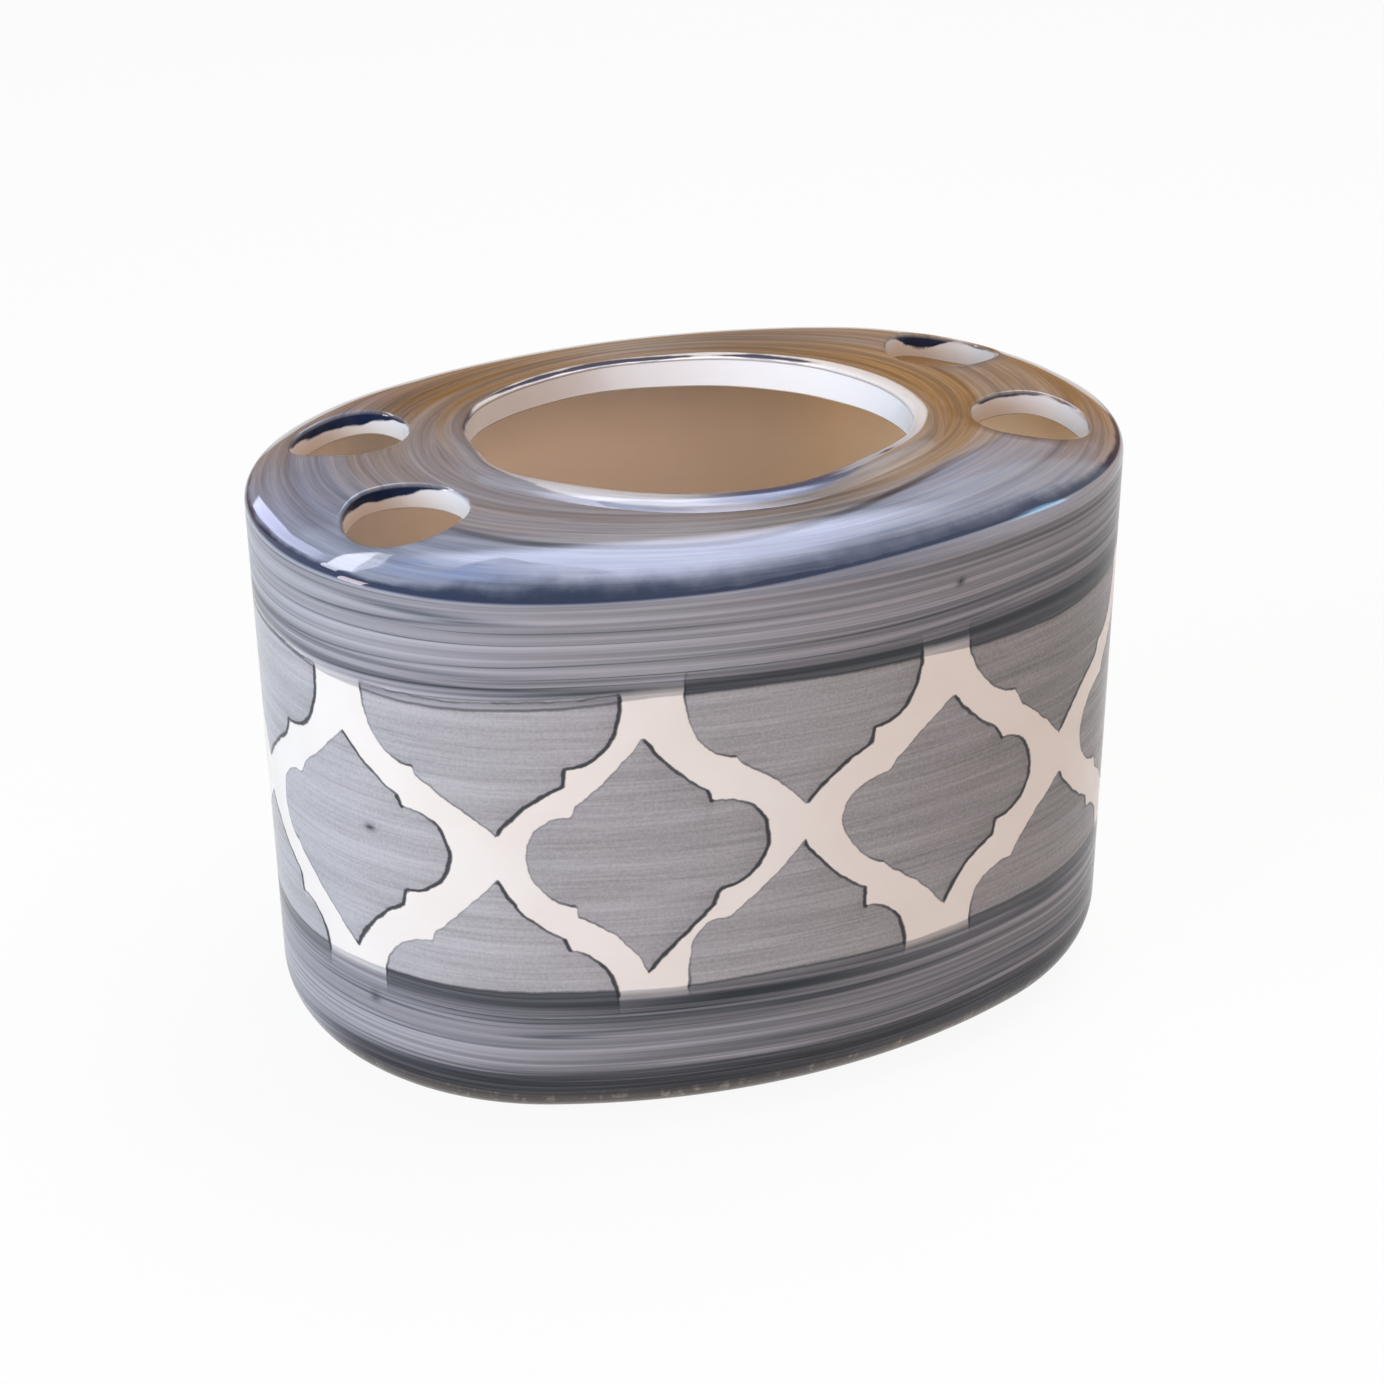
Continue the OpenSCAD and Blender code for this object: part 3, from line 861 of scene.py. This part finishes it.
# The mouth's outline, moved by the hand's cut and a gentle wander
def mouthPoints(turns, outset=0.0):
    wander = mouthShape["wander"] * handWobble(turns, 31, (2, 3, 7, 12))
    return ovalPoints(mouth, turns, wander - outset - roundMarks(turns, mouthShape["cutBy"]))


def makeDeck():
    count, size = deck["columns"], deck["holeColumns"]
    turns, _ = evenTurns(body, count)
    r, soft = deck["creaseR"], deck["holeSoft"]
    centreZ = domeZ + np.sqrt((domeR - r) ** 2 - (deck["slopeWidth"] - r) ** 2)
    stopTurn = np.degrees(np.arctan2(deck["slopeWidth"] - r, centreZ - domeZ))
    crown = sectionArc(r, centreZ, r, 90, stopTurn, 8)
    # plan of the top: rings from the slope to the mouth, with the holes' own loops set in
    share = np.linspace(0, 1, deck["rings"] + 1)[:, None, None]
    plan = (1 - share) * ovalPoints(body, turns, crown[-1, 0]) + share * mouthPoints(turns)
    centres = np.array([[sx * deck["holeX"], sy * deck["holeY"]] for sx in (-1, 1) for sy in (-1, 1)])
    holeTurn = np.arange(size) * 2 * np.pi / size
    circle = np.stack([np.cos(holeTurn), np.sin(holeTurn)], -1)
    rimR = deck["holeR"] + soft
    loops = [c + radius * circle for radius in (rimR, rimR + deck["collar"]) for c in centres]
    between = plan[1:-1].reshape(-1, 2)
    clear = np.min([np.hypot(*(between - c).T) for c in centres], 0) > rimR + 1.5
    flat = np.concatenate([plan[0], plan[-1], *loops, between[clear]])
    # numbers of the points on the outer edge, the mouth and the holes' rims
    holes = [2 * count + k * size + np.arange(size) for k in range(4)]
    rims = [np.arange(count), count + np.arange(count), *holes]
    edges = np.concatenate([np.stack([rim, np.roll(rim, -1)], -1) for rim in rims])
    cdt = delaunay_2d_cdt(flat.tolist(), edges.tolist(), [], 0, 1e-5, True)
    triangles = np.array([[cdt[3][v][0] for v in f] for f in cdt[2]])
    # triangles with all corners on the mouth or on one hole fill that opening
    group = np.zeros(len(flat), int)
    for k, rim in enumerate(rims):
        group[rim] = k
    corners = group[triangles]
    triangles = triangles[(corners.min(1) == 0) | (corners.min(1) < corners.max(1))]
    p = flat[triangles]
    area = np.cross(p[:, 1] - p[:, 0], p[:, 2] - p[:, 0])
    triangles[area < 0] = triangles[area < 0][:, ::-1]

    total = len(flat)
    inset = ovalInset(body, *flat.T)
    top = np.column_stack([flat, topHeight(inset)])
    below = flat.copy()                            # the underside's holes are as wide as the bore
    for hole, centre in zip(holes, centres):
        below[hole] = centre + deck["holeR"] * circle
    below[rims[1]] = mouthPoints(turns, -deck["lean"][0] * nearSide(turns, deck["lean"][1], 2))
    underside = np.column_stack([below, np.maximum(topHeight(inset, domeR - deck["thickness"]), deckSeam)])
    points, faces = [top, underside], [triangles, triangles[:, ::-1] + total]
    # the underside's points carry the full painted buff shade into the walls' lowest rows
    shades = {"cut": [np.zeros(2 * total)], "stain": [np.zeros(2 * total)],
              "buff": [np.repeat([0.0, 1.0], total)]}

    # a strip of rings from a loop of the underside up to the same loop of the top
    def addStrip(loop, rings, outward=False, **shade):
        between = numbered(rings.shape, sum(map(len, points)))
        quads = rowQuads(np.concatenate([loop[None] + total, between, loop[None]]))
        faces.append(quads if outward else quads[:, ::-1])
        points.append(rings.reshape(-1, 3))
        for key, parts in shades.items():
            parts.append(np.broadcast_to(shade.get(key, 0), rings.shape[:2]).ravel())

    sideSection = np.concatenate([[[0, deckSeam], [0, deckSeam + 0.05]], crown[:-1]])
    addStrip(rims[0], sweptRings(body, turns, sideSection), outward=True)
    low, high = underside[rims[1]], top[rims[1]]
    steps = np.array([0.05, 0.35, 0.7, 0.95])[:, None, None]
    addStrip(rims[1], low + steps * (high - low), cut=1)
    # hole walls: straight, then rounded over into the top
    arc = np.radians(np.linspace(0, 75, 6))
    for k, (hole, centre) in enumerate(zip(holes, centres)):
        lowZ, rimZ = underside[hole, 2], top[hole, 2]
        springZ = rimZ - soft
        rows = [np.column_stack([below[hole], lowZ + f * (springZ - lowZ)]) for f in (0.05, 0.4, 0.75)]
        rows += [np.column_stack([centre + (rimR - soft * np.cos(a)) * circle, springZ + soft * np.sin(a)])
                 for a in arc]
        rings = np.stack(rows)
        # ink hangs lowest at the rear left, and thins to the rim
        amount, towards, narrow = deck["hang"][k]
        hang = 0.1 + amount * nearSide(holeTurn, towards, narrow) + 0.08 * handWobble(holeTurn, 40 + k)
        height = (rings[..., 2] - lowZ) / (rimZ - lowZ)
        # painted buff shade, strongest low down and on each hole's left side, away from the light
        addStrip(hole, rings, cut=np.clip((1 - height) * 6, 0, 1),
                 stain=np.clip(0.5 + (height - 1 + hang) * 3, 0, 1),
                 buff=np.clip(1.2 - 1.3 * height, 0, 1) * (0.62 - 0.38 * np.cos(holeTurn)))

    points = np.concatenate(points)
    x, y, z = points.T
    holeRim = np.zeros(len(points))
    for hole, (strength, towards, narrow) in zip(holes, deck["pooled"]):
        facingIt = 0.5 + 0.5 * np.cos(holeTurn - np.radians(towards))
        amount = strength * facingIt ** narrow * (0.85 + 0.3 * handWobble(holeTurn, 70, (3, 5, 9)))
        holeRim[hole], holeRim[hole + 4 * size] = amount, 0.6 * amount         # the rim and its second loop
    inset = np.clip(ovalInset(body, x, y), 0, None)
    mouthGap = np.clip(-ovalInset(mouth, x, y), 0, None)
    lane = 20 * inset / (inset + mouthGap + 1e-6)
    polar = np.arctan2(y, x)
    marked = lambda key: roundMarks(polar, deck[key])
    run = 0.6 * (z - (deckTop - deck["rise"]) + 0.25) + inset - 0.4 - marked("poolLift")
    ringOff = inset - marked("ringInset")
    # warm tint inside the ring, partly a painted warm reflection; on the slope only where the marks say so
    inside = np.clip(ringOff / 1.5 + 0.3, 0, 1)
    warmTintAndReflection = marked("slopeWarmTintAndReflection") + (marked("flatWarmTintAndReflection") - marked("slopeWarmTintAndReflection")) * inside
    # more amber towards the mouth, a painted warm reflection
    amberTintAndReflection = marked("amberTintAndReflection") + 0.35 * np.clip((lane - 15) / 4, 0, 1)
    values = {"lane": lane, "creaseRun": run, "creaseWide": marked("poolWide"),
              "creaseDeep": marked("poolDeep"), "ringOff": ringOff, "ringTone": marked("ringTone"),
              "warmTintAndReflection": warmTintAndReflection, "amberTintAndReflection": amberTintAndReflection, "load": marked("load"), "sideTone": marked("sideTone"),
              **{key: np.concatenate(parts) for key, parts in shades.items()}, "holeRim": holeRim}
    isInside = np.concatenate([np.full(len(f), k == 1) for k, f in enumerate(faces)])
    return makePiece("topDeck", points, faces, values, [deckGlaze, insideGlaze], isInside)


placePiece(makeDeck(), "top_deck")
print("top made")


# Coil round the mouth
lip = {
    "columns": 480,
    # how far across the coil the top's wash begins, and how strong the ink is
    "washFrom": {-180: 0.1, -162: 0.2, -145: 0.75, -100: 0.8, -70: 0.6, -50: 0.35, -30: 0.3, -12: 0.5,
                 30: 0.5, 60: 0.45, 120: 0.42, 150: 0.1},
    "rearInk": {-180: 0.3, -150: 0.1, -120: 0, -40: 0, 0: 0.3, 25: 0.6, 60: 0.8, 100: 0.9, 140: 0.95,
                165: 0.5},
    "frontInk": {-170: 0.2, -140: 0.5, -100: 0.7, -60: 0.75, -30: 0.7, -10: 0.2, 0: 0, 150: 0},
    "streaky": {-175: 0.5, -150: 0.45, -125: 0.45, -112: 0.6, -100: 1, -60: 1, -45: 0.75, -25: 0.2, 30: 0,
                150: 0.15},
    # the section, as shares of its width and height
    "across": [0, 0, 0.06, 0.16, 0.3, 0.46, 0.64, 0.82, 0.94, 1],
    "up": [0, 0.5, 0.8, 0.95, 1, 0.94, 0.72, 0.36, 0.1, 0],
}


# Section: flat underneath, upright at the mouth, rounded over, and sloping away outwards
def makeLip():
    turns, _ = evenTurns(mouth, lip["columns"])
    stands = roundMarks(turns, mouthShape["lipShare"]) + 0.08 * handWobble(turns, 61, (2, 3, 5))
    height = (potTop - deckTop) * np.clip(stands, 0.2, 1)
    w = mouthShape["lipWidth"]
    across = np.array(lip["across"]) * w
    rings = np.stack([np.column_stack([mouthPoints(turns, a), deckTop + height * u])
                      for a, u in zip(across, lip["up"])])[::-1]
    polar = np.arctan2(rings[..., 1], rings[..., 0])
    share = np.broadcast_to(across[::-1, None] / w, polar.shape)
    spread = partial(roundMarks, polar)
    # navy: patches along the rear crest, and a thin line at the front's outer edge
    washFrom = spread(lip["washFrom"])
    trace = spread(lip["rearInk"]) * np.exp(-((share - 0.16) / 0.16) ** 2) \
        + spread(lip["frontInk"]) * np.exp(-((share - washFrom + 0.06) / 0.07) ** 2)
    # the outer flank carries the top's warm tint, partly a painted warm reflection
    values = {"trace": trace, "outer": np.clip(0.5 + (share - washFrom) / 0.2, 0, 1),
              "streaky": spread(lip["streaky"]), "lane": 20 - 3.5 * share, "warmTintAndReflection": spread(deck["flatWarmTintAndReflection"]),
              "amberTintAndReflection": spread(deck["amberTintAndReflection"]), "load": spread(deck["load"])}
    return makeHoop("mouthLip", rings, values, [lipGlaze])


placePiece(makeLip(), "mouth_lip")
print("lip made")


# Floor, light and camera
studio = {
    "middle": (0, 0, 0.05),    # the softboxes and cards face this place
    "floorSize": 12,
    "floorWhite": 0.92,        # share of plain white in what the camera sees of the floor
    # softboxes light the pot but aren't mirrored in it
    "key": dict(place=(-1.10, -0.32, 0.42), size=(0.7, 0.7), power=12.1, colour="#e1f0ff"),
    "overhead": dict(place=(0.32, 0.08, 1), size=(0.8, 0.45), power=6.2, colour="#ffffff"),
    "fill": dict(place=(0.15, -0.95, 0.62), size=(0.5, 0.5), power=2.6, colour="#ffcbaa"),
    "ambient": 0.19,
}
# Cards are only mirrored in the glaze: the sky and blue ones as the front slope's broad sheen, the pane,
# corner and slit as the window's glints at the left, the spark at the right, the wall as a warm rear.
# A card is an oval or rectangle at a place, or a shape in a level plane, 1 m up or at its own height.
cards = {
    "wall": dict(place=(0.17, 0.98, 0.40), size=(3, 1.1), colour="#c3966a", strength=0.9, fade=0.8),
    "sky": dict(shape=[(-0.34, 0.45), (-0.1, 0.04), (0.18, -0.1), (0.46, 0.06), (0.7, 0.34), (0.74, 0.56),
                       (0.6, 0.76), (0.3, 0.76), (-0.1, 0.66), (-0.32, 0.6)],
                colour="#d6dbf4", strength=10.5, fade=0.4),
    "blue": dict(shape=[(-0.55, 0.5), (-0.4, 0.25), (-0.1, 0.05), (0.1, 0.2), (0.05, 0.5), (-0.2, 0.66)],
                 colour="#7aa2ff", strength=3.5, fade=0.2),
    "pane": dict(shape=[(-0.144, 0.105), (-0.161, 0.205), (-0.164, 0.353), (-0.178, 0.617), (-0.224, 0.617),
                        (-0.204, 0.353), (-0.194, 0.205), (-0.171, 0.115)],
                 height=0.25, colour="#dcdcff", strength=6, fade=0.8),
    "corner": dict(shape=[(-0.22, 0.60), (-0.42, 0.70), (-1.5, 0.74), (-1.5, 0.45), (-0.36, 0.49)],
                   colour="#f0f2ff", strength=12, fade=0.9),
    "slit": dict(place=(-1, 0.02, 0.14), size=(0.2, 0.6), colour="#fff0f4", strength=13, fade=0.95,
                 corners=4),
    "spark": dict(shape=[(0.81, 0.05), (1.12, 0.12), (1.4, 0.27), (1.1, 0.31), (0.83, 0.17)],
                  colour="#a8dcff", strength=8, fade=0.6),
}
# The camera stands where the photograph's did. Angles in degrees, the rest in millimetres.
view = {
    "azimuth": -20.83, "elevation": 27.27, "roll": -0.46,
    "distance": 409.5, "target": (-0.265, 0, 45.184),
    "sensor": 36, "lens": 70.11,
}


# 1 for what the camera sees, straight or by way of the glaze, and 0 for what only lights the pot
def seenShare(add):
    camera, glossy, through = [add("LightPath", out=f"Is {kind} Ray")
                               for kind in ("Camera", "Glossy", "Transmission")]
    either = add("Math", [camera, glossy], operation="MAXIMUM")
    return add("Math", [either, through], operation="MAXIMUM")


def makeFloor():
    material, add = newMaterial("pale studio floor")
    share = add("Math", [seenShare(add), studio["floorWhite"]], **times)
    matt = add("BsdfDiffuse", {"Color": "#f4f3f1"})
    white = add("Emission", {"Color": "#ffffff", "Strength": 1})
    add("OutputMaterial", {"Surface": add("MixShader", [share, matt, white])})
    corners = np.array([(-1, -1, 0), (1, -1, 0), (1, 1, 0), (-1, 1, 0)]) * studio["floorSize"] / 2
    mesh = bpy.data.meshes.new("floor")
    mesh.from_pydata(corners.tolist(), [], [(0, 1, 2, 3)])
    mesh.materials.append(material)
    floor = newObject("floor", mesh)


# A thing's level right and its up, from its +Z
def levelAxes(back):
    right = np.cross([0, 0, 1], back)
    right /= np.linalg.norm(right)
    return right, np.cross(back, right)


# The matrix with these axes and this place as its columns
def placed(right, up, back, place):
    return Matrix([*np.stack([right, up, back, place], 1).tolist(), [0, 0, 0, 1]])


# Turns a flat thing so that its +Z looks away from the pot's middle, or at it
def facing(place, towards=1):
    back = (np.array(place, float) - np.array(studio["middle"], float)) * towards
    back /= np.linalg.norm(back)
    return placed(*levelAxes(back), back, place)


def addSoftbox(name, place, size, power, colour):
    light = bpy.data.lights.new(name, "AREA")
    light.shape, light.size, light.size_y = "RECTANGLE", *size
    light.energy, light.color = power, paint(colour)[:3]
    lamp = newObject(name, light)
    lamp.matrix_world = facing(place)
    lamp.visible_glossy = False


# A glowing oval, rectangle or shape that fades out from the given share of its half size
def makeCard(name, colour, strength, fade, place=None, size=None, shape=None, height=1, corners=48):
    material, add = newMaterial("studio card " + name)
    across = add("Attribute", out="Fac", attribute_name="fromMiddle")
    shown = add("MapRange", [across, fade, 1, 1, 0], **smooth)
    glow = add("Emission", {"Color": colour, "Strength": strength})
    add("OutputMaterial", {"Surface": add("MixShader", [shown, add("BsdfTransparent"), glow])})
    if shape:
        rim = np.array([[x, y, height] for x, y in shape])
    else:
        turn = (np.arange(corners) + 0.5) * 2 * np.pi / corners
        rim = np.stack([np.cos(turn) * size[0], np.sin(turn) * size[1], 0 * turn], -1)
        rim /= 2 * np.cos(np.pi / corners)             # a rectangle reaches its sides, not only its corners
    mesh = bpy.data.meshes.new("card" + name.capitalize())
    points, n = np.concatenate([[rim.mean(0)], rim]), len(rim)
    mesh.from_pydata(points.tolist(), [], [(0, 1 + k, 1 + (k + 1) % n) for k in range(n)])
    addValues(mesh, "fromMiddle", [0] + [1] * n)
    mesh.materials.append(material)
    if not shape:
        mesh.transform(facing(place, -1))
    card = newObject(mesh.name, mesh)
    card.visible_camera = card.visible_diffuse = card.visible_shadow = card.visible_transmission = False


def makeWorld():
    world = bpy.context.scene.world = bpy.data.worlds.new("studio")
    add = emptyTree(world)
    shown = seenShare(add)
    ambient, white = [add("Background", {"Color": "#ffffff", "Strength": strength})
                      for strength in (studio["ambient"], 1)]
    add("OutputWorld", {"Surface": add("MixShader", [shown, ambient, white])})


def makeCamera():
    azimuth, elevation, roll = np.radians([view["azimuth"], view["elevation"], view["roll"]])
    level = np.cos(elevation)
    back = np.array([np.sin(azimuth) * level, -np.cos(azimuth) * level, np.sin(elevation)])
    right, up = levelAxes(back)
    rolledRight = right * np.cos(roll) + up * np.sin(roll)
    rolledUp = up * np.cos(roll) - right * np.sin(roll)
    data = bpy.data.cameras.new("camera")
    data.sensor_width, data.lens = view["sensor"], view["lens"]
    camera = newObject("camera", data)
    place = (np.array(view["target"]) + back * view["distance"]) * mm
    camera.matrix_world = placed(rolledRight, rolledUp, back, place)
    bpy.context.scene.camera = camera


makeFloor()
makeWorld()
for name, card in cards.items():
    makeCard(name, **card)
for part in ("key", "overhead", "fill"):
    addSoftbox(part + "Softbox", **studio[part])
makeCamera()
bpy.context.scene.view_settings.view_transform = "Standard"
print("studio made")
